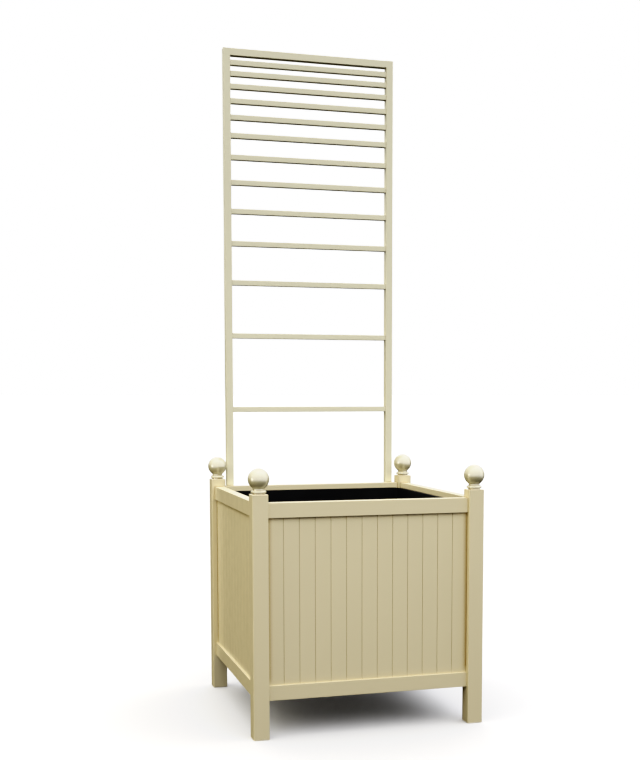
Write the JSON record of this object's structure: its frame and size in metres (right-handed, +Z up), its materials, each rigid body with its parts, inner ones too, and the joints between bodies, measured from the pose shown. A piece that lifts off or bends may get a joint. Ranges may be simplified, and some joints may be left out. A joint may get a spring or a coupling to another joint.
{
  "type": "planter with trellis",
  "caption": "Square panelled garden planter on four post legs with ball finials, a lift-out liner and a tall ladder trellis fixed behind it.",
  "frame": {"origin": "on the floor, in the middle of the whole footprint: the box's own middle is 4.15 mm in front of it, because the trellis stands behind the box", "axes": "+Z up, -Y towards the front, +X to the right as seen from the front; the trellis is at the +Y side"},
  "size_m": [0.6124, 0.6206, 1.809],
  "materials": {
    "cream_paint": "satin",
    "liner": "matte",
    "plug": "matte",
    "bare_aluminium": "satin",
    "steel": "satin"
  },
  "bodies": {
    "planter": {"bearer_screws": "steel", "boards_back": "cream_paint", "boards_front": "cream_paint", "boards_left": "cream_paint", "boards_right": "cream_paint", "bottom_rail_back": "cream_paint", "bottom_rail_front": "cream_paint", "bottom_rail_left": "cream_paint", "bottom_rail_right": "cream_paint", "finial_ball_front_left": "cream_paint", "finial_ball_front_right": "cream_paint", "finial_ball_rear_left": "cream_paint", "finial_ball_rear_right": "cream_paint", "finial_collar_front_left": "cream_paint", "finial_collar_front_right": "cream_paint", "finial_collar_rear_left": "cream_paint", "finial_collar_rear_right": "cream_paint", "finial_nuts": "steel", "finial_studs": "steel", "floor_bearer_back": "bare_aluminium", "floor_bearer_front": "bare_aluminium", "floor_screws": "steel", "floor_slats": "bare_aluminium", "foot_front_left": "plug", "foot_front_right": "plug", "foot_rear_left": "plug", "foot_rear_right": "plug", "post_cap_front_left": "cream_paint", "post_cap_front_right": "cream_paint", "post_cap_rear_left": "cream_paint", "post_cap_rear_right": "cream_paint", "post_front_left": "cream_paint", "post_front_right": "cream_paint", "post_rear_left": "cream_paint", "post_rear_right": "cream_paint", "rail_screws": "steel", "rail_spigots": "bare_aluminium", "top_rail_back": "cream_paint", "top_rail_front": "cream_paint", "top_rail_left": "cream_paint", "top_rail_right": "cream_paint", "trellis_bar_01": "cream_paint", "trellis_bar_02": "cream_paint", "trellis_bar_03": "cream_paint", "trellis_bar_04": "cream_paint", "trellis_bar_05": "cream_paint", "trellis_bar_06": "cream_paint", "trellis_bar_07": "cream_paint", "trellis_bar_08": "cream_paint", "trellis_bar_09": "cream_paint", "trellis_bar_10": "cream_paint", "trellis_bar_11": "cream_paint", "trellis_bar_12": "cream_paint", "trellis_bar_13": "cream_paint", "trellis_bolts": "steel", "trellis_stile_left": "cream_paint", "trellis_stile_plugs": "plug", "trellis_stile_right": "cream_paint", "trellis_top_rail": "cream_paint"},
    "liner": {"liner": "liner"}
  },
  "joints": [
    {"name": "liner_lift", "type": "slide", "parent": "planter", "child": "liner", "axis": [0, 0, 1], "range_m": [0, 0.57]}
  ]
}
